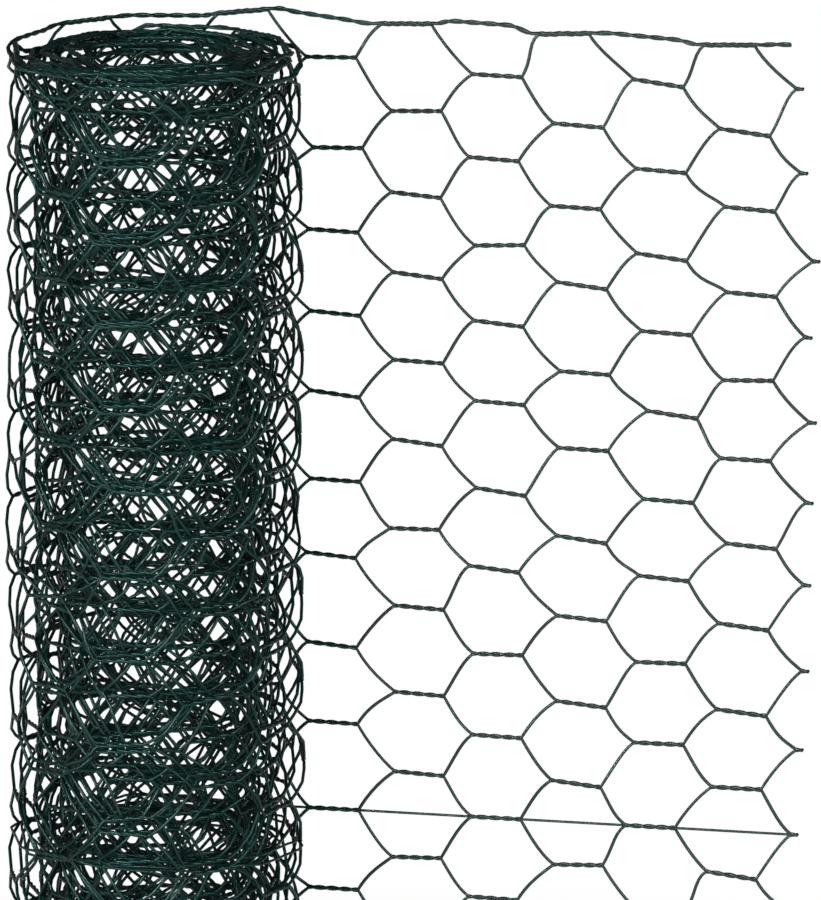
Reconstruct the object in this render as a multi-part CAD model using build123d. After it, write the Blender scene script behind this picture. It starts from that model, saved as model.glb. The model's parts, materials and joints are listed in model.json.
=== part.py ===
from build123d import *
import math
import os

# Roll of green coated hexagonal wire netting, standing on end, with its free end unrolled.
# Millimetres. Z runs up the roll's axis from the floor. The open stretch leaves the back of
# the roll, at +Y, and runs flat towards +X.

# Netting
netting_width = 500.0
nominal_row_pitch = 26.2
column_pitch = 26.3
twist_length = 16.2
wire_diameter = 1.0
line_wire_size = 0.7

# Roll
roll_radius = 46.5
bore_radius = 21.0
turn_gap = 0.5

# Open stretch
columns_open = 7
first_twist_start = 10.4
cut_stub = 2.5

# A twist is a pair of wires side by side, and so is a selvedge.
twist_size = 2 * wire_diameter
selvedge_size = 2 * wire_diameter

# The selvedges' middles lie half their size inside the netting's two edges, whole rows apart.
edge_level = netting_width - selvedge_size / 2
mesh_rows = round((netting_width - selvedge_size) / nominal_row_pitch)
row_pitch = (netting_width - selvedge_size) / mesh_rows
line_wire_level = netting_width / 2

# The open stretch lies tangent to the roll's back.
sheet_back = roll_radius
sheet_middle = sheet_back - twist_size / 2
first_column = first_twist_start + twist_length / 2
open_end = first_twist_start + columns_open * column_pitch + cut_stub

# Half a cell: half of its twist, then the sloping wire's run to the side corner.
half_twist = twist_length / 2
slope_run = column_pitch - twist_length
slope_angle = math.atan2(row_pitch / 2, slope_run)

# The wound selvedge's turns on each end of the roll, outside a closed innermost turn.
inner_turn_radius = bore_radius + selvedge_size
outer_turn_middle = roll_radius - selvedge_size / 2
wound_turns = math.floor((roll_radius - inner_turn_radius) / (selvedge_size + turn_gap))
turn_pitch = (roll_radius - inner_turn_radius) / wound_turns


def box_between(x, y, z):
    """A block between two limits on each axis."""
    size = (x[1] - x[0], y[1] - y[0], z[1] - z[0])
    middle = ((x[0] + x[1]) / 2, (y[0] + y[1]) / 2, (z[0] + z[1]) / 2)
    return Pos(*middle) * Box(*size)


def turn_chain(offset):
    """Semicircles of a spiral that closes inwards, moved outwards by an offset."""
    arcs = []
    outer = outer_turn_middle
    side = 1
    for _ in range(2 * wound_turns - 1):
        radius = outer - turn_pitch / 4 + offset
        centre = side * turn_pitch / 4
        start = (0, centre + side * radius)
        middle = (-side * radius, centre)
        end = (0, centre - side * radius)
        arcs.append(ThreePointArc(start, middle, end))
        outer -= turn_pitch / 2
        side = -side
    return arcs


def end_turns():
    """The wound selvedge as it shows on an end of the roll, standing on Z 0."""
    outside = turn_chain(selvedge_size / 2)
    inside = turn_chain(-selvedge_size / 2)
    caps = [Line(outside[0] @ 0, inside[0] @ 0), Line(outside[-1] @ 1, inside[-1] @ 1)]
    band = make_face(Wire([*outside, *inside, *caps]).edges())
    return extrude(band, selvedge_size)


def wound_netting():
    """The roll: one turned solid with its bore, and the turns standing on both ends."""
    inner_turn = Pos((bore_radius + inner_turn_radius) / 2, netting_width / 2)
    packed_turns = Pos((bore_radius + roll_radius) / 2, netting_width / 2)
    profile = inner_turn * Rectangle(inner_turn_radius - bore_radius, netting_width)
    profile += packed_turns * Rectangle(
        roll_radius - bore_radius, netting_width - 2 * selvedge_size
    )
    roll = revolve(Plane.XZ * profile, Axis.Z)
    turns = end_turns()
    return roll + turns + Pos(0, 0, netting_width - selvedge_size) * turns


def cell_outline():
    """The opening of one hexagonal mesh, between the edges of its six wires."""
    top = row_pitch / 2 - twist_size / 2
    inset = wire_diameter / 2 / math.sin(slope_angle)
    shoulder = half_twist + twist_size / 2 / math.tan(slope_angle) - inset
    corner = half_twist + slope_run - inset
    return Polygon(
        (shoulder, top),
        (corner, 0),
        (shoulder, -top),
        (-shoulder, -top),
        (-corner, 0),
        (-shoulder, top),
        align=None,
    )


def is_edge_column(column):
    """True where the column's twists fall on the selvedges."""
    return column % 2 == 0


def twist_levels(column):
    """Heights of the twists of a column, without those that lie on the selvedges."""
    if is_edge_column(column):
        return [edge_level - row_pitch * k for k in range(1, mesh_rows)]
    return [edge_level - row_pitch * (k + 0.5) for k in range(mesh_rows)]


def cell_levels(column):
    """Heights of the middles of the meshes of a column."""
    if is_edge_column(column):
        return [edge_level - row_pitch * (k + 0.5) for k in range(mesh_rows)]
    return [edge_level - row_pitch * k for k in range(mesh_rows + 1)]


def column_middle(column):
    return first_column + column * column_pitch


def sloping_wires():
    """The single wires of the open stretch, as one thin sheet with a hole for each mesh."""
    width = open_end - first_column
    height = netting_width - 2 * selvedge_size
    sheet = Pos(first_column + width / 2, netting_width / 2) * Rectangle(width, height)
    opening = cell_outline()
    holes = [
        Pos(column_middle(column), level) * opening
        for column in range(columns_open + 1)
        for level in cell_levels(column)
    ]
    front = Plane(
        origin=(0, sheet_middle + wire_diameter / 2, 0), x_dir=(1, 0, 0), z_dir=(0, -1, 0)
    )
    return extrude(front * (sheet - holes), wire_diameter) - line_wire_bar()


def twists():
    """The twisted pairs of the open stretch, from the roll to the cut free edge."""
    bars = []
    section = RegularPolygon(twist_size / 2, 6, major_radius=False)
    for column in range(columns_open + 1):
        start = column_middle(column) - half_twist
        end = min(column_middle(column) + half_twist, open_end)
        for level in twist_levels(column):
            place = Plane(origin=(start, sheet_middle, level), z_dir=(1, 0, 0))
            bar = extrude(place * section, end - start)
            if column == 0:
                bar -= roll_body()
            if abs(level - line_wire_level) < twist_size:
                bar -= line_wire_bar()
            bars.append(bar)
    return bars


def roll_body():
    """The plain cylinder that the open stretch starts from."""
    return Cylinder(roll_radius, netting_width, align=(Align.CENTER, Align.CENTER, Align.MIN))


def line_wire_bar():
    """The straight wire through the middle row of twists, with its start in the roll."""
    half = line_wire_size / 2
    return box_between(
        (0, open_end),
        (sheet_middle - half, sheet_middle + half),
        (line_wire_level - half, line_wire_level + half),
    )


def line_wire():
    """The straight wire through the middle row of twists, starting on the roll."""
    return line_wire_bar() - roll_body()


def unrolled_netting():
    """The open stretch of netting, with its wires fused where they meet."""
    return sloping_wires() + twists()


def selvedge_wire(bottom):
    """A selvedge's straight run along the open stretch."""
    return box_between(
        (0, open_end),
        (sheet_back - selvedge_size, sheet_back),
        (bottom, bottom + selvedge_size),
    )


os.makedirs("parts", exist_ok=True)
parts = {
    "wound_netting": wound_netting(),
    "unrolled_netting": unrolled_netting(),
    "top_selvedge_wire": selvedge_wire(netting_width - selvedge_size),
    "bottom_selvedge_wire": selvedge_wire(0),
    "line_wire": line_wire(),
}
for name, part in parts.items():
    export_step(part, f"parts/{name}.step")
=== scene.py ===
"""A roll of green coated hexagonal wire netting, standing on end with its free end unrolled."""

import json
import math

import bmesh
import bpy
import numpy as np
from mathutils import Matrix, Vector


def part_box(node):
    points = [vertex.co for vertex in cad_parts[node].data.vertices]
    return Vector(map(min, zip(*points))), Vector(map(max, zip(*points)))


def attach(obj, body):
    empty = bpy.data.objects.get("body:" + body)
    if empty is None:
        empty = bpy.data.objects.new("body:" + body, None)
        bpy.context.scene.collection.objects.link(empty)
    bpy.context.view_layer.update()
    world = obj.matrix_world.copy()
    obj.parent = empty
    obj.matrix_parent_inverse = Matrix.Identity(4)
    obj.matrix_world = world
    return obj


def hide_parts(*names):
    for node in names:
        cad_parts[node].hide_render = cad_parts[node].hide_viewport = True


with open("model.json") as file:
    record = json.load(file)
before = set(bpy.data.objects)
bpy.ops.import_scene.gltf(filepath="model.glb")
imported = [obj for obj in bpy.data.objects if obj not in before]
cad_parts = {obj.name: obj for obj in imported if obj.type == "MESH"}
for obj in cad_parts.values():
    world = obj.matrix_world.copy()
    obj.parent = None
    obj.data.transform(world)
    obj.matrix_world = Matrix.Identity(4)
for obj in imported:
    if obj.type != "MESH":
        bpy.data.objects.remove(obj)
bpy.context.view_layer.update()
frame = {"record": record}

# Lengths are in metres
MM = 0.001

# What the frame gives
_, roll_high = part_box("wound_netting")
sheet_low, sheet_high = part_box("unrolled_netting")
selvedge_low, selvedge_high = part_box("top_selvedge_wire")
line_low, line_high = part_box("line_wire")
bore_radius = next(
    mount["dims"]["r_mm"] * MM for mount in frame["record"]["mounts"] if mount["name"] == "bore"
)
roll_radius = roll_high.x
netting_width = roll_high.z
first_twist_start = sheet_low.x
open_end = sheet_high.x
selvedge_size = selvedge_high.z - selvedge_low.z
top_height = selvedge_high.z - selvedge_size / 2
line_wire_size = line_high.z - line_low.z

# The netting as it is woven
ROWS = 19
LEVELS = 2 * ROWS
COLUMN_PITCH = 26.3 * MM
TWIST_LENGTH = 16.2 * MM
TWIST_TURNS = 2
WIRE_RADIUS = 0.54 * MM
STRAND_OFFSET = 0.32 * MM
THREE_STRAND_OFFSET = 0.42 * MM
SLOPE_BOW = 0.4
NETTING_LENGTH = 2.95
WELD = 0.02 * MM

row_pitch = (netting_width - selvedge_size) / ROWS
level_pitch = row_pitch / 2
slope_run = COLUMN_PITCH - TWIST_LENGTH
wound_length = NETTING_LENGTH - open_end

# The selvedges, with their wires' angles on a joint and between joints, and the line wire, which is
# shown a little fuller than its solid
SELVEDGE_TURNS = 3
SELVEDGE_EASE = 2 * MM
SELVEDGE_CUT_BACK = 1 * MM
JOINT_PHASES = (math.radians(30), math.radians(150))
RUN_PHASES = (0, math.pi)
LINE_WIRE_STEP = 3.5 * MM
LINE_WIRE_FULLNESS = 1.2
line_wire_radius = line_wire_size / 2 * LINE_WIRE_FULLNESS

# The cut ends, where the steel core stands out of the coat
CORE_RADIUS = 0.32 * MM
CORE_SHOWING = 0.2 * MM
FREE_CUT_REACH = 8 * MM
INNER_CUT_REACH = 2 * MM

# How finely the wires are drawn: sides round a wire, steps in a turn and points down a slope
ROLL_SIDES = 5
ROLL_TURN_STEPS = 4
ROLL_SLOPE_POINTS = [0.12, 0.4, 0.72]
SHEET_SIDES = 6
SHEET_TURN_STEPS = 8
SHEET_SLOPE_POINTS = [0.08, 0.2, 0.36, 0.54, 0.72, 0.88]
EDGE_SIDES = 6
EDGE_TURN_STEPS = 6
SHARP_ANGLE = math.radians(80)

# The roll's spiral: radii in mm at each quarter turn of the loose outer turns, then packed turns
LOOSE_RADII = [45.6, 43.9, 41.6, 44.4, 42.4, 39.6, 40.2, 42.4, 40.8, 39.6, 39.8, 40.4]
PACKED_RADIUS = 38.6 * MM
TURN_STEPS = 48
SOFTENED_STEPS = 9

# The roll's shape off the spiral: how far, and between which turns from the back it grows
CORE_DROP = 3.6 * MM
CORE_SHIFT = 0.7 * MM
CORE_TURNS = (0.15, 0.5)
FIRST_SWELL = 0.36 * MM
FIRST_SWELL_TURNS = (0, 0.25)
SECOND_SWELL = 0.84 * MM
SECOND_SWELL_TURNS = (0.8, 1.2)
SWELL_FADE_TURNS = (1.8, 2.8)
WAIST = 1.6 * MM
WAIST_TURNS = (1.2, 2.4)
WAIST_DEPTH = 35 * MM

# How uneven the netting is: each twist by itself, then whole rows, whole turns and the roll's ends
SEED = 21
DRAW_LIMIT = 2.2
SHEET_UNEVEN = {"along": 0.8 * MM, "out": 0.7 * MM, "up": 0.5 * MM, "tilt": 0.045}
ROLL_UNEVEN = {"along": 1.6 * MM, "out": 0.7 * MM, "up": 0.9 * MM, "tilt": 0.06}
ROLL_UNEVEN_REACH = 2 * COLUMN_PITCH
ROW_UNEVEN = 0.75 * MM
TURN_UNEVEN = 0.7 * MM
ROLL_DRIFT = 1.0 * MM
DRIFT_COLUMNS = 9
TWIST_DROOP = -0.045
RING_SINK = 3.4 * MM

# The open stretch: its sag, its bulging cut edge and the lift of its top near the roll
SHEET_DROP = 2.2 * MM
SHEET_DROP_REACH = 3 * COLUMN_PITCH
EDGE_BULGE = 4.6 * MM
EDGE_SET_BACK = 0.75
EDGE_LIFT = 3.4 * MM
EDGE_LIFT_LEVELS = 5
EDGE_LIFT_COLUMNS = 4.5

# The twists on the selvedges, which keep a share of their unevenness, and those on the line wire
EDGE_CALM = {"up": 0.7, "tilt": 0.4}
LOWER_EDGE_CALM = 0.2
SELVEDGE_SHIFT = -3 * MM
LINE_WIRE_LIFT = -0.9 * MM

# How far the top selvedge lies off a straight line, in mm, at both ends of each column's twist
SELVEDGE_RISE = [
    (-0.8, -1.4),
    (-0.6, -0.3),
    (0.1, 0.2),
    (1.2, 3.2),
    (2.6, 0.8),
    (0.0, 0.6),
    (1.7, 1.2),
    (-1.2, -0.3),
    (-0.2, -1.1),
    (-2.2, -1.6),
    (-1.2, -1.2),
    (-1.2, -1.2),
]


def smooth(share):
    """An eased share, from 0 to 1."""
    share = np.clip(share, 0, 1)
    return share * share * (3 - 2 * share)


def ramp(value, start, end):
    """An eased share that grows from 0 at the start to 1 at the end."""
    return smooth((value - start) / (end - start))


# The spiral: the netting's length along it, its angle from the back and its radius there
def spiral_table():
    """Angle and radius of the spiral by the length of netting wound outside that place."""
    radii = [radius * MM for radius in LOOSE_RADII]
    quarter = math.pi / 2
    angles = [quarter * k for k in range(len(radii))]
    innermost = bore_radius + WIRE_RADIUS + STRAND_OFFSET
    loose_length = sum((a + b) / 2 * quarter for a, b in zip(radii, radii[1:]))
    packed_turns = (wound_length - loose_length) / (math.pi * (PACKED_RADIUS + innermost))
    angles += [angles[-1] + quarter, angles[-1] + packed_turns * 2 * math.pi]
    radii += [PACKED_RADIUS, innermost]
    steps = int(angles[-1] / (2 * math.pi) * TURN_STEPS)
    angle = np.linspace(0, angles[-1], steps)
    padded = np.pad(np.interp(angle, angles, radii), SOFTENED_STEPS // 2, mode="edge")
    radius = np.convolve(padded, np.ones(SOFTENED_STEPS) / SOFTENED_STEPS, mode="valid")
    length = np.concatenate([[0], np.cumsum(np.diff(angle) * (radius[1:] + radius[:-1]) / 2)])
    return length, angle, radius


spiral_length, spiral_angle, spiral_radius = spiral_table()


def turns_wound(wound):
    """Turns from the back of the roll to a wound length of netting."""
    return np.interp(wound, spiral_length, spiral_angle) / (2 * math.pi)


def spiral_place(wound):
    """Place and outward direction of the netting at a wound length; a negative one is unrolled."""
    angle = np.interp(wound, spiral_length, spiral_angle)
    radius = np.interp(wound, spiral_length, spiral_radius)
    outward = np.stack([-np.sin(angle), np.cos(angle)], axis=-1)
    place = outward * radius[..., None]
    place[..., 0] -= np.minimum(wound, 0)
    return place, outward


def heading(outward):
    """The direction along the netting, towards its free end, where it faces outward."""
    return np.stack([outward[:, 1], -outward[:, 0]], axis=-1)


# The netting's columns, numbered from the roll's back: even ones have twists on the selvedges
SPARE_COLUMNS = 3
FIRST_COLUMN = -int(wound_length / COLUMN_PITCH) - SPARE_COLUMNS
LAST_COLUMN = 8
column_count = LAST_COLUMN - FIRST_COLUMN + 1
column_numbers = np.arange(FIRST_COLUMN, LAST_COLUMN + 1)
column_middles = first_twist_start + TWIST_LENGTH / 2 + column_numbers * COLUMN_PITCH


def uneven_nodes():
    """How far each twist is moved along, out and up, and how much it tilts."""
    draw = np.random.RandomState(SEED)

    def scatter(columns, levels):
        return np.clip(draw.normal(size=(columns, levels)), -DRAW_LIMIT, DRAW_LIMIT)

    on_roll = ramp(-column_middles, 0, ROLL_UNEVEN_REACH)[:, None]
    nodes = {}
    for way in ("along", "out", "up", "tilt"):
        spread = SHEET_UNEVEN[way] + on_roll * (ROLL_UNEVEN[way] - SHEET_UNEVEN[way])
        nodes[way] = scatter(column_count, LEVELS + 1) * spread
    nodes["up"] += scatter(1, LEVELS + 1) * ROW_UNEVEN
    nodes["out"] += scatter(column_count, 1) * TURN_UNEVEN * on_roll
    shares = np.ones(DRIFT_COLUMNS) / math.sqrt(DRIFT_COLUMNS)
    drift = np.convolve(draw.normal(size=column_count + DRIFT_COLUMNS - 1), shares, mode="valid")
    nodes["up"] += drift[:, None] * ROLL_DRIFT * on_roll
    nodes["up"][:, 0] -= np.abs(scatter(column_count, 1))[:, 0] * RING_SINK * on_roll[:, 0]
    nodes["tilt"] += TWIST_DROOP
    shape_sheet(nodes)
    settle_edges(nodes)
    return nodes


def shape_sheet(nodes):
    """Adds the open stretch's sag, the lift near the roll and the cut edge's bulges."""
    down = np.arange(LEVELS + 1)[None, :] / LEVELS
    from_roll = ramp(column_middles, 0, SHEET_DROP_REACH)[:, None]
    nodes["up"] -= SHEET_DROP * from_roll * (1 - down)
    near_edge = ramp(column_middles, 0, open_end)[:, None]
    nodes["along"] += near_edge * EDGE_BULGE * (np.abs(np.sin(2 * math.pi * down)) - EDGE_SET_BACK)
    near_top = np.exp(-down * LEVELS / EDGE_LIFT_LEVELS)
    near_roll = (1 - ramp(np.abs(column_numbers), 0, EDGE_LIFT_COLUMNS))[:, None]
    nodes["up"] += EDGE_LIFT * near_top * near_roll


def settle_edges(nodes):
    """Sets the nodes on the selvedges and on the line wire, between the twists that they pass."""
    on_sheet = column_numbers >= 0
    for edge in (0, LEVELS):
        for way, calm in EDGE_CALM.items():
            nodes[way][:, edge] *= calm
        nodes["along"][:, edge] += SELVEDGE_SHIFT * on_sheet
    rise = np.array(SELVEDGE_RISE) * MM
    nodes["up"][-len(rise):, 0] = rise.mean(axis=1)
    nodes["tilt"][-len(rise):, 0] = (rise[:, 1] - rise[:, 0]) / TWIST_LENGTH
    nodes["up"][:, LEVELS] = np.abs(nodes["up"][:, LEVELS])
    nodes["tilt"][:, LEVELS] *= LOWER_EDGE_CALM
    bare = 1 + np.flatnonzero(column_numbers[1:-1] % 2 == 0)
    for way in ("along", "out", "up"):
        nodes[way][bare, ROWS] = (nodes[way][bare - 1, ROWS] + nodes[way][bare + 1, ROWS]) / 2
    climb = nodes["up"][bare + 1, ROWS] - nodes["up"][bare - 1, ROWS]
    nodes["tilt"][bare, ROWS] = climb / (2 * COLUMN_PITCH)
    for way, value in (("up", LINE_WIRE_LIFT), ("out", 0), ("tilt", 0)):
        nodes[way][on_sheet, ROWS] = value


node_moves = uneven_nodes()


def nearest_twists(column, levels_down):
    """The level of the twist nearest to each point, in the point's column."""
    odd = column_numbers[column] % 2
    level = 2 * np.round((levels_down - odd) / 2).astype(int) + odd
    return np.clip(level, odd, LEVELS - odd)


def roll_bulge(turn, slack, height):
    """How far the roll's outer turns swell, and its packed turns narrow, between its ends."""
    swell = FIRST_SWELL * ramp(turn, *FIRST_SWELL_TURNS)
    swell += SECOND_SWELL * ramp(turn, *SECOND_SWELL_TURNS)
    swell *= 1 - ramp(turn, *SWELL_FADE_TURNS)
    waist = WAIST * ramp(turn, *WAIST_TURNS) * slack
    from_end = netting_width / 2 - np.abs(height - netting_width / 2)
    return ramp(from_end, 0, WAIST_DEPTH) * (swell - waist)


def netting_place(flat, level=None):
    """Moves points of the flat netting to their place, with the nearest twists or one level's."""
    along, out, height = flat.T
    column = np.floor((along - column_middles[0] + TWIST_LENGTH / 2) / COLUMN_PITCH).astype(int)
    column = np.clip(column, 0, column_count - 2)
    share = smooth((along - column_middles[column] - TWIST_LENGTH / 2) / slope_run)
    levels_down = (top_height - height) / level_pitch
    moved = {way: np.zeros_like(along) for way in ("along", "out", "up")}
    line = np.zeros((len(along), 2))
    outward = np.zeros((len(along), 2))
    for here, weight in ((column, 1 - share), (column + 1, share)):
        node = nearest_twists(here, levels_down) if level is None else level
        for way in moved:
            moved[way] += weight * node_moves[way][here, node]
        beyond = along - column_middles[here]
        moved["up"] += weight * node_moves["tilt"][here, node] * beyond
        middle, normal = spiral_place(-column_middles[here])
        line += weight[:, None] * (middle + beyond[:, None] * heading(normal))
        outward += weight[:, None] * normal
    outward /= np.linalg.norm(outward, axis=1)[:, None]
    turn = turns_wound(-along)
    core = ramp(turn, *CORE_TURNS)
    slack = (np.hypot(*line.T) - bore_radius) / (PACKED_RADIUS - bore_radius)
    place = line + outward * (out + moved["out"] + roll_bulge(turn, slack, height))[:, None]
    place[:, 0] -= CORE_SHIFT * core * slack
    place += heading(outward) * moved["along"][:, None]
    up = (height + moved["up"]) * (1 - core * CORE_DROP / netting_width)
    return np.column_stack([place, up])


def shape_mesh(mesh, level=None):
    """Moves a flat mesh to its place on the sheet and the roll."""
    flat = np.empty(len(mesh.vertices) * 3, np.float32)
    mesh.vertices.foreach_get("co", flat)
    placed = netting_place(flat.reshape(-1, 3).astype(float), level)
    mesh.vertices.foreach_set("co", placed.astype(np.float32).ravel())
    mesh.update()


# Wires, drawn as lines on the flat netting, along X
def draw_helix(bm, point, height, length, turns, steps):
    """Winds a line on round a straight one at a height, and gives its new end."""
    made = bmesh.ops.spin(
        bm,
        geom=[point],
        cent=(0, 0, height),
        axis=(1, 0, 0),
        dvec=(length / steps, 0, 0),
        angle=turns * 2 * math.pi,
        steps=steps,
    )
    return next(part for part in made["geom_last"] if isinstance(part, bmesh.types.BMVert))


def draw_on(bm, point, motion):
    """Draws a line on straight, and gives its new end."""
    made = bmesh.ops.extrude_vert_indiv(bm, verts=[point])["verts"]
    bmesh.ops.translate(bm, verts=made, vec=motion)
    return made[0]


def draw_slope(bm, point, rise, slope_points):
    """Draws a line on to the next twist, steep at first and gentler at its end."""
    start = point.co.copy()
    for share in slope_points + [1.0]:
        climb = rise * share * (1 + SLOPE_BOW * (1 - share))
        point = draw_on(bm, point, start + Vector((slope_run * share, 0, climb)) - point.co)
    return point


def draw_two_columns(turn_steps, slope_points):
    """A wire of the netting: a twist, a slope down, a twist one level lower and a slope up."""
    module = bmesh.new()
    high, low = -STRAND_OFFSET, STRAND_OFFSET - level_pitch
    steps = TWIST_TURNS * turn_steps
    point = module.verts.new((0, 0, high))
    point = draw_helix(module, point, 0, TWIST_LENGTH, TWIST_TURNS, steps)
    point = draw_slope(module, point, low - high, slope_points)
    point = draw_helix(module, point, -level_pitch, TWIST_LENGTH, TWIST_TURNS, steps)
    draw_slope(module, point, high - low, slope_points)
    return module


def modified(mesh, add_modifier):
    """What a modifier makes of a mesh, as a new mesh."""
    holder = bpy.data.objects.new("holder", mesh)
    bpy.context.scene.collection.objects.link(holder)
    add_modifier(holder)
    bpy.context.view_layer.update()
    evaluated = holder.evaluated_get(bpy.context.evaluated_depsgraph_get())
    made = bpy.data.meshes.new_from_object(evaluated)
    bpy.data.objects.remove(holder)
    return made


def use_nodes(holder, tree):
    """Puts geometry nodes on an object."""
    holder.modifiers.new("nodes", "NODES").node_group = tree


def arrayed(mesh, count, step, welded=False):
    """Copies of a mesh along a step, as one new mesh."""

    def add_array(holder):
        array = holder.modifiers.new("copies", "ARRAY")
        array.use_relative_offset = False
        array.use_constant_offset = True
        array.constant_offset_displace = step
        array.count = count
        array.use_merge_vertices = welded
        array.merge_threshold = WELD

    return modified(mesh, add_array)


def trim(bm, start, end):
    """Cuts the wires off at both ends, square."""
    for cut, side in ((start, -1), (end, 1)):
        bmesh.ops.bisect_plane(
            bm,
            geom=bm.verts[:] + bm.edges[:] + bm.faces[:],
            plane_co=(cut, 0, 0),
            plane_no=(side, 0, 0),
            clear_outer=True,
        )


def lines_along(module, module_start, period, height, start, end):
    """A drawn module, repeated along the netting at a height and cut to length."""
    skipped = math.floor((start - module_start) / period) - 1
    count = math.ceil((end - module_start) / period) - skipped
    place = (module_start + skipped * period, 0, height)
    bmesh.ops.translate(module, verts=module.verts, vec=place)
    drawn = bpy.data.meshes.new("module")
    module.to_mesh(drawn)
    module.free()
    lines = arrayed(drawn, count, (period, 0, 0), welded=True)
    bm = bmesh.new()
    bm.from_mesh(lines)
    trim(bm, start, end)
    bm.to_mesh(lines)
    bm.free()
    return lines


def row_lines(start, end, turn_steps, slope_points):
    """The lines of the two wires of the netting's top row."""
    bm = bmesh.new()
    for wire in (0, 1):
        module = draw_two_columns(turn_steps, slope_points)
        wire_start = first_twist_start + wire * COLUMN_PITCH
        height = top_height - wire * level_pitch
        bm.from_mesh(lines_along(module, wire_start, 2 * COLUMN_PITCH, height, start, end))
    mesh = bpy.data.meshes.new("row")
    bm.to_mesh(mesh)
    bm.free()
    return mesh


def tube_maker(radius, sides):
    """Geometry nodes that draw a round wire along every line."""
    tree = bpy.data.node_groups.new("round wires", "GeometryNodeTree")
    tree.interface.new_socket("Lines", in_out="INPUT", socket_type="NodeSocketGeometry")
    tree.interface.new_socket("Wires", in_out="OUTPUT", socket_type="NodeSocketGeometry")
    nodes, links = tree.nodes, tree.links
    lines = nodes.new("NodeGroupInput")
    path = nodes.new("GeometryNodeMeshToCurve")
    section = nodes.new("GeometryNodeCurvePrimitiveCircle")
    section.inputs["Resolution"].default_value = sides
    section.inputs["Radius"].default_value = radius
    tube = nodes.new("GeometryNodeCurveToMesh")
    tube.inputs["Fill Caps"].default_value = True
    wires = nodes.new("NodeGroupOutput")
    links.new(lines.outputs["Lines"], path.inputs["Mesh"])
    links.new(path.outputs["Curve"], tube.inputs["Curve"])
    links.new(section.outputs["Curve"], tube.inputs["Profile Curve"])
    links.new(tube.outputs["Mesh"], wires.inputs["Wires"])
    return tree


def is_cut_end(place):
    """True near the netting's free end and near its inner end, in the bore."""
    return place.x > open_end - FREE_CUT_REACH or place.xy.length < bore_radius + INNER_CUT_REACH


def wires_on(lines, radius, sides):
    """Round wires along lines, closed, with the steel core standing out of the coat at cut ends."""
    evaluated = modified(lines, lambda holder: use_nodes(holder, tube_maker(radius, sides)))
    bm = bmesh.new()
    bm.from_mesh(evaluated)
    caps = [face for face in bm.faces if len(face.verts) == sides]
    cut = [face for face in caps if is_cut_end(face.calc_center_median())]
    bmesh.ops.inset_individual(bm, faces=cut, thickness=WIRE_RADIUS - CORE_RADIUS)
    for face in bmesh.ops.extrude_discrete_faces(bm, faces=cut)["faces"]:
        bmesh.ops.translate(bm, verts=face.verts, vec=face.normal * CORE_SHOWING)
        for side in [face] + [edge.link_faces[0] for edge in face.edges]:
            side.material_index = 1
    bm.to_mesh(evaluated)
    bm.free()
    return evaluated


def add_piece(name, mesh, materials, slot, *nodes):
    """A finished piece in the scene, which stands for CAD nodes."""
    piece = bpy.data.objects.new(name, mesh)
    bpy.context.scene.collection.objects.link(piece)
    mesh.name = name
    mesh.materials.clear()
    for material in materials:
        mesh.materials.append(material)
    mesh.shade_smooth()
    mesh.set_sharp_from_angle(angle=SHARP_ANGLE)
    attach(piece, "root")
    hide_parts(*nodes)


def add_netting(name, row, first_row, rows, sides, node, materials):
    """Rows of the netting's wires, from the lines of its top row."""
    lines = arrayed(row, rows, (0, 0, -row_pitch))
    lines.transform(Matrix.Translation((0, 0, -row_pitch * first_row)))
    shape_mesh(lines)
    add_piece(name, wires_on(lines, WIRE_RADIUS, sides), materials, "netting", node)


def add_wound_netting(materials):
    """The wound wires, in bands of whole rows."""
    row = row_lines(-wound_length, 0, ROLL_TURN_STEPS, ROLL_SLOPE_POINTS)
    bands = {"top": 5, "upper": 5, "lower": 5, "bottom": 4}
    first_row = 0
    for band, rows in bands.items():
        name = f"wound_wires_{band}"
        add_netting(name, row, first_row, rows, ROLL_SIDES, "wound_netting", materials)
        first_row += rows


def add_unrolled_netting(materials):
    """The wires of the open stretch."""
    row = row_lines(0, open_end, SHEET_TURN_STEPS, SHEET_SLOPE_POINTS)
    add_netting("unrolled_wires", row, 0, ROWS, SHEET_SIDES, "unrolled_netting", materials)


def across(phase, offset):
    """A place beside a wire's line, at an angle round it."""
    return Vector((0, math.cos(phase), math.sin(phase))) * offset


def draw_selvedge_strand(module, side, joint_phase, run_phase):
    """A selvedge wire over two columns: wound on a joint, then on with its pair."""
    joint = side * across(joint_phase, THREE_STRAND_OFFSET)
    run = side * across(run_phase, STRAND_OFFSET)
    ease = Vector((SELVEDGE_EASE, 0, 0))
    run_length = 2 * (COLUMN_PITCH - SELVEDGE_EASE) - TWIST_LENGTH
    point = module.verts.new(joint)
    point = draw_helix(module, point, 0, TWIST_LENGTH, TWIST_TURNS, TWIST_TURNS * EDGE_TURN_STEPS)
    point = draw_on(module, point, ease + run - joint)
    point = draw_helix(module, point, 0, run_length, SELVEDGE_TURNS, SELVEDGE_TURNS * EDGE_TURN_STEPS)
    draw_on(module, point, ease + joint - run)


def add_selvedge(name, level, side, node, materials):
    """Two wires laid round each other along an edge, and round the netting's edge wire at joints."""
    module = bmesh.new()
    for joint_phase, run_phase in zip(JOINT_PHASES, RUN_PHASES):
        draw_selvedge_strand(module, side, joint_phase, run_phase)
    height = top_height - level * level_pitch
    cut = open_end - SELVEDGE_CUT_BACK
    lines = lines_along(module, first_twist_start, 2 * COLUMN_PITCH, height, -wound_length, cut)
    shape_mesh(lines, level)
    add_piece(name, wires_on(lines, WIRE_RADIUS, EDGE_SIDES), materials, "edge_wire", node)


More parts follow.
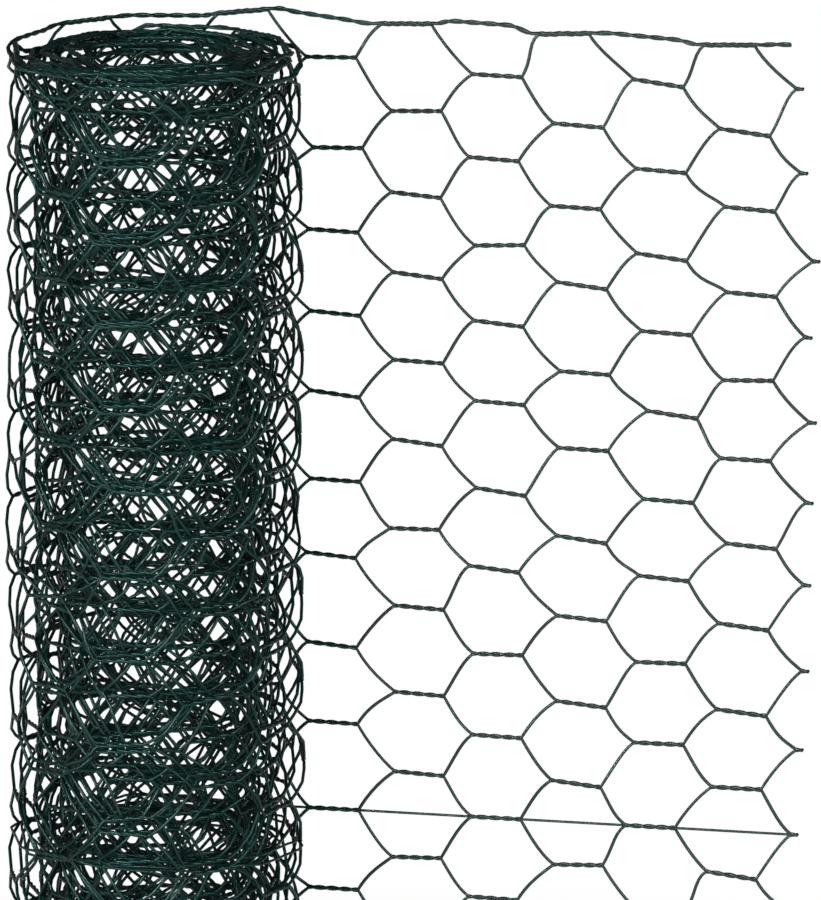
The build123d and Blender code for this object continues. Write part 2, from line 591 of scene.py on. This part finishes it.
def add_line_wire(materials):
    """The straight wire through the middle row of twists."""
    module = bmesh.new()
    draw_on(module, module.verts.new((0, 0, 0)), (LINE_WIRE_STEP, 0, 0))
    lines = lines_along(module, 0, LINE_WIRE_STEP, netting_width / 2, -wound_length, open_end)
    shape_mesh(lines, ROWS)
    wire = wires_on(lines, line_wire_radius, EDGE_SIDES)
    add_piece("middle_line_wire", wire, materials, "edge_wire", "line_wire")


# Finishes
DEEP_GREEN = (0.0008, 0.009, 0.0075, 1)
BRIGHT_GREEN = (0.0016, 0.020, 0.017, 1)
COAT_SHINE = (0.55, 1.0, 0.93, 1)
# Painted light: a lighter grey mixed into the coat beyond the roll, for the white backdrop's light
# round the open stretch's thin wires, not a film on the wire
PAINTED_BACKDROP_GREY = (0.038, 0.041, 0.038, 1)
PAINTED_GREY_SHARE = 0.7
PAINTED_GREY_UNEVEN = 0.15
PAINTED_GREY_START = roll_radius
PAINTED_GREY_FULL = roll_radius + 12 * MM
DULL_STEEL = (0.32, 0.33, 0.34, 1)
BRIGHT_STEEL = (0.56, 0.57, 0.58, 1)


def shader(name):
    """A new material with its Principled shader."""
    material = bpy.data.materials.new(name)
    material.use_nodes = True
    return material, material.node_tree, material.node_tree.nodes["Principled BSDF"]


def uneven_finish():
    """A shared effect: a value that drifts between two levels over the surface, in soft clouds."""
    group = bpy.data.node_groups.new("uneven finish", "ShaderNodeTree")
    for name in ("Scale", "Low", "High"):
        group.interface.new_socket(name, in_out="INPUT", socket_type="NodeSocketFloat")
    group.interface.new_socket("Value", in_out="OUTPUT", socket_type="NodeSocketFloat")
    nodes, links = group.nodes, group.links
    given = nodes.new("NodeGroupInput")
    coordinates = nodes.new("ShaderNodeTexCoord")
    clouds = nodes.new("ShaderNodeTexNoise")
    clouds.inputs["Detail"].default_value = 4
    spread = nodes.new("ShaderNodeMapRange")
    spread.inputs["From Min"].default_value = 0.35
    spread.inputs["From Max"].default_value = 0.65
    result = nodes.new("NodeGroupOutput")
    links.new(coordinates.outputs["Object"], clouds.inputs["Vector"])
    links.new(given.outputs["Scale"], clouds.inputs["Scale"])
    links.new(clouds.outputs["Fac"], spread.inputs["Value"])
    links.new(given.outputs["Low"], spread.inputs["To Min"])
    links.new(given.outputs["High"], spread.inputs["To Max"])
    links.new(spread.outputs["Result"], result.inputs["Value"])
    return group


def uneven(tree, group, scale, low, high):
    """The shared effect placed in a material, as the socket that gives its value."""
    placed = tree.nodes.new("ShaderNodeGroup")
    placed.node_tree = group
    for name, value in (("Scale", scale), ("Low", low), ("High", high)):
        placed.inputs[name].default_value = value
    return placed.outputs["Value"]


def mixed_colours(tree, share, first, second):
    """A mix of two colours by a share from a socket, as the socket that gives it."""
    mix = tree.nodes.new("ShaderNodeMix")
    mix.data_type = "RGBA"
    colours = [socket for socket in mix.inputs if socket.type == "RGBA"]
    for socket, colour in zip(colours, (first, second)):
        if isinstance(colour, tuple):
            socket.default_value = colour
        else:
            tree.links.new(colour, socket)
    tree.links.new(share, mix.inputs["Factor"])
    return next(socket for socket in mix.outputs if socket.type == "RGBA")


def add_bumps(tree, surface, height, depth):
    """Small bumps on a surface, from a socket that gives their height."""
    bump = tree.nodes.new("ShaderNodeBump")
    bump.inputs["Distance"].default_value = depth
    tree.links.new(height, bump.inputs["Height"])
    tree.links.new(bump.outputs["Normal"], surface.inputs["Normal"])


def painted_grey_share(tree, clouds):
    """How much grey is painted on the coat as light, for the white backdrop's light round thin wires:
    none on the roll, most on the open stretch.
    """
    nodes, links = tree.nodes, tree.links
    coordinates = nodes.new("ShaderNodeTexCoord")
    place = nodes.new("ShaderNodeSeparateXYZ")
    reach = nodes.new("ShaderNodeMapRange")
    reach.inputs["From Min"].default_value = PAINTED_GREY_START
    reach.inputs["From Max"].default_value = PAINTED_GREY_FULL
    share = nodes.new("ShaderNodeMath")
    share.operation = "MULTIPLY"
    low, high = PAINTED_GREY_SHARE - PAINTED_GREY_UNEVEN, PAINTED_GREY_SHARE + PAINTED_GREY_UNEVEN
    # thickness is the share of painted grey light, uneven in soft clouds
    thickness = uneven(tree, clouds, scale=60, low=low, high=high)
    links.new(coordinates.outputs["Object"], place.inputs["Vector"])
    links.new(place.outputs["X"], reach.inputs["Value"])
    links.new(reach.outputs["Result"], share.inputs[0])
    links.new(thickness, share.inputs[1])
    return share.outputs["Value"]


def green_coat(clouds):
    """Dark green plastic coat on wire."""
    material, tree, surface = shader("green plastic coat")
    tone = uneven(tree, clouds, scale=110, low=0, high=1)
    green = mixed_colours(tree, tone, DEEP_GREEN, BRIGHT_GREEN)
    # Painted light: the green is greyed and lightened beyond the roll, for the white backdrop's light
    # round the open stretch's wires
    colour = mixed_colours(tree, painted_grey_share(tree, clouds), green, PAINTED_BACKDROP_GREY)
    tree.links.new(colour, surface.inputs["Base Color"])
    tree.links.new(uneven(tree, clouds, scale=500, low=0.14, high=0.26), surface.inputs["Roughness"])
    add_bumps(tree, surface, uneven(tree, clouds, scale=1800, low=0, high=1), depth=0.03 * MM)
    surface.inputs["IOR"].default_value = 1.5
    surface.inputs["Specular Tint"].default_value = COAT_SHINE
    return material


def cut_steel(clouds):
    """Bare zinc-coated steel of the wires' cut ends."""
    material, tree, surface = shader("cut steel")
    tone = uneven(tree, clouds, scale=900, low=0, high=1)
    tree.links.new(mixed_colours(tree, tone, DULL_STEEL, BRIGHT_STEEL), surface.inputs["Base Color"])
    tree.links.new(uneven(tree, clouds, scale=1500, low=0.3, high=0.5), surface.inputs["Roughness"])
    surface.inputs["Metallic"].default_value = 1
    return material


# Floor, world, lights and camera
FLOOR_RADIUS = 0.95
FLOOR_FADE_START = 0.35
FLOOR_COLOUR = (0.85, 0.85, 0.85, 1)
FLOOR_PALENESS = 0.45
ROOM_LIGHT = 0.47
DIM_LIGHT = 0.04
DIM_SIDE = (0, 0.6, 1)
DIM_REACH = 0.8
LIGHT_AIM = Vector((0.05, 0, 0.3))
VIEW_AZIMUTH = math.radians(13.5)
VIEW_ELEVATION = math.radians(12)
VIEW_DISTANCE = 4.0
VIEW_LIMIT = 20
FRAME_HEIGHT = 277.5 * MM
FRAME_RIGHT = 78.2 * MM
FRAME_LEVEL = 371 * MM


def add_floor():
    """A round pale floor that fades into the white backdrop, paler where the camera sees it."""
    bm = bmesh.new()
    bmesh.ops.create_circle(bm, cap_ends=True, radius=FLOOR_RADIUS, segments=96)
    mesh = bpy.data.meshes.new("floor")
    bm.to_mesh(mesh)
    bm.free()
    floor = bpy.data.objects.new("floor", mesh)
    bpy.context.scene.collection.objects.link(floor)
    material, tree, surface = shader("pale floor")
    nodes, links = tree.nodes, tree.links
    surface.inputs["Base Color"].default_value = FLOOR_COLOUR
    surface.inputs["Roughness"].default_value = 0.8
    coordinates = nodes.new("ShaderNodeTexCoord")
    distance = nodes.new("ShaderNodeVectorMath")
    distance.operation = "LENGTH"
    path = nodes.new("ShaderNodeLightPath")
    paler = nodes.new("ShaderNodeMath")
    paler.operation = "MULTIPLY"
    paler.inputs[1].default_value = FLOOR_PALENESS
    fade = nodes.new("ShaderNodeMapRange")
    fade.inputs["From Min"].default_value = FLOOR_FADE_START
    fade.inputs["From Max"].default_value = FLOOR_RADIUS
    white = nodes.new("ShaderNodeEmission")
    mix = nodes.new("ShaderNodeMixShader")
    links.new(coordinates.outputs["Object"], distance.inputs[0])
    links.new(distance.outputs["Value"], fade.inputs["Value"])
    links.new(path.outputs["Is Camera Ray"], paler.inputs[0])
    links.new(paler.outputs["Value"], fade.inputs["To Min"])
    links.new(fade.outputs["Result"], mix.inputs["Fac"])
    links.new(surface.outputs["BSDF"], mix.inputs[1])
    links.new(white.outputs["Emission"], mix.inputs[2])
    links.new(mix.outputs["Shader"], nodes["Material Output"].inputs["Surface"])
    mesh.materials.append(material)


def set_world():
    """White to the camera and through glass. As a light it is softer, and dim above and behind."""
    world = bpy.data.worlds.new("white room")
    bpy.context.scene.world = world
    world.use_nodes = True
    nodes, links = world.node_tree.nodes, world.node_tree.links
    background = nodes["Background"]
    background.inputs["Color"].default_value = (1, 1, 1, 1)
    path = nodes.new("ShaderNodeLightPath")
    seen = nodes.new("ShaderNodeMath")
    seen.operation = "MAXIMUM"
    links.new(path.outputs["Is Camera Ray"], seen.inputs[0])
    links.new(path.outputs["Is Transmission Ray"], seen.inputs[1])
    coordinates = nodes.new("ShaderNodeTexCoord")
    towards = nodes.new("ShaderNodeVectorMath")
    towards.operation = "DOT_PRODUCT"
    towards.inputs[1].default_value = Vector(DIM_SIDE).normalized()
    links.new(coordinates.outputs["Generated"], towards.inputs[0])
    light = nodes.new("ShaderNodeMapRange")
    light.inputs["From Max"].default_value = DIM_REACH
    light.inputs["To Min"].default_value = ROOM_LIGHT
    light.inputs["To Max"].default_value = DIM_LIGHT
    links.new(towards.outputs["Value"], light.inputs["Value"])
    strength = nodes.new("ShaderNodeMapRange")
    strength.inputs["To Max"].default_value = 1.0
    links.new(light.outputs["Result"], strength.inputs["To Min"])
    links.new(seen.outputs["Value"], strength.inputs["Value"])
    links.new(strength.outputs["Result"], background.inputs["Strength"])


def add_light(name, place, width, height, power):
    """A soft light that faces the roll."""
    data = bpy.data.lights.new(name, "AREA")
    data.shape = "RECTANGLE"
    data.size = width
    data.size_y = height
    data.energy = power
    light = bpy.data.objects.new(name, data)
    light.location = place
    light.rotation_euler = (LIGHT_AIM - Vector(place)).to_track_quat("-Z", "Y").to_euler()
    bpy.context.scene.collection.objects.link(light)


def add_camera():
    """The camera at the photograph's angle, far off with a long lens."""
    rightwards = Vector((math.cos(VIEW_AZIMUTH), math.sin(VIEW_AZIMUTH), 0))
    target = Vector((0, 0, FRAME_LEVEL)) + rightwards * FRAME_RIGHT
    back = Vector((
        math.sin(VIEW_AZIMUTH) * math.cos(VIEW_ELEVATION),
        -math.cos(VIEW_AZIMUTH) * math.cos(VIEW_ELEVATION),
        math.sin(VIEW_ELEVATION),
    ))
    data = bpy.data.cameras.new("camera")
    data.lens = data.sensor_width * VIEW_DISTANCE / FRAME_HEIGHT
    data.clip_end = VIEW_LIMIT
    camera = bpy.data.objects.new("camera", data)
    camera.location = target + back * VIEW_DISTANCE
    camera.rotation_euler = (-back).to_track_quat("-Z", "Y").to_euler()
    bpy.context.scene.collection.objects.link(camera)
    bpy.context.scene.camera = camera


clouds = uneven_finish()
wire_materials = [green_coat(clouds), cut_steel(clouds)]
add_wound_netting(wire_materials)
add_unrolled_netting(wire_materials)
add_selvedge("top_selvedge", 0, 1, "top_selvedge_wire", wire_materials)
add_selvedge("bottom_selvedge", LEVELS, -1, "bottom_selvedge_wire", wire_materials)
add_line_wire(wire_materials)
add_floor()
set_world()
add_light("key", place=(-0.9, -2.0, 0.95), width=2.4, height=0.08, power=50)
add_light("fill", place=(1.4, -1.2, 0.9), width=0.25, height=1.2, power=12)
add_camera()
bpy.context.scene.view_settings.view_transform = "Standard"
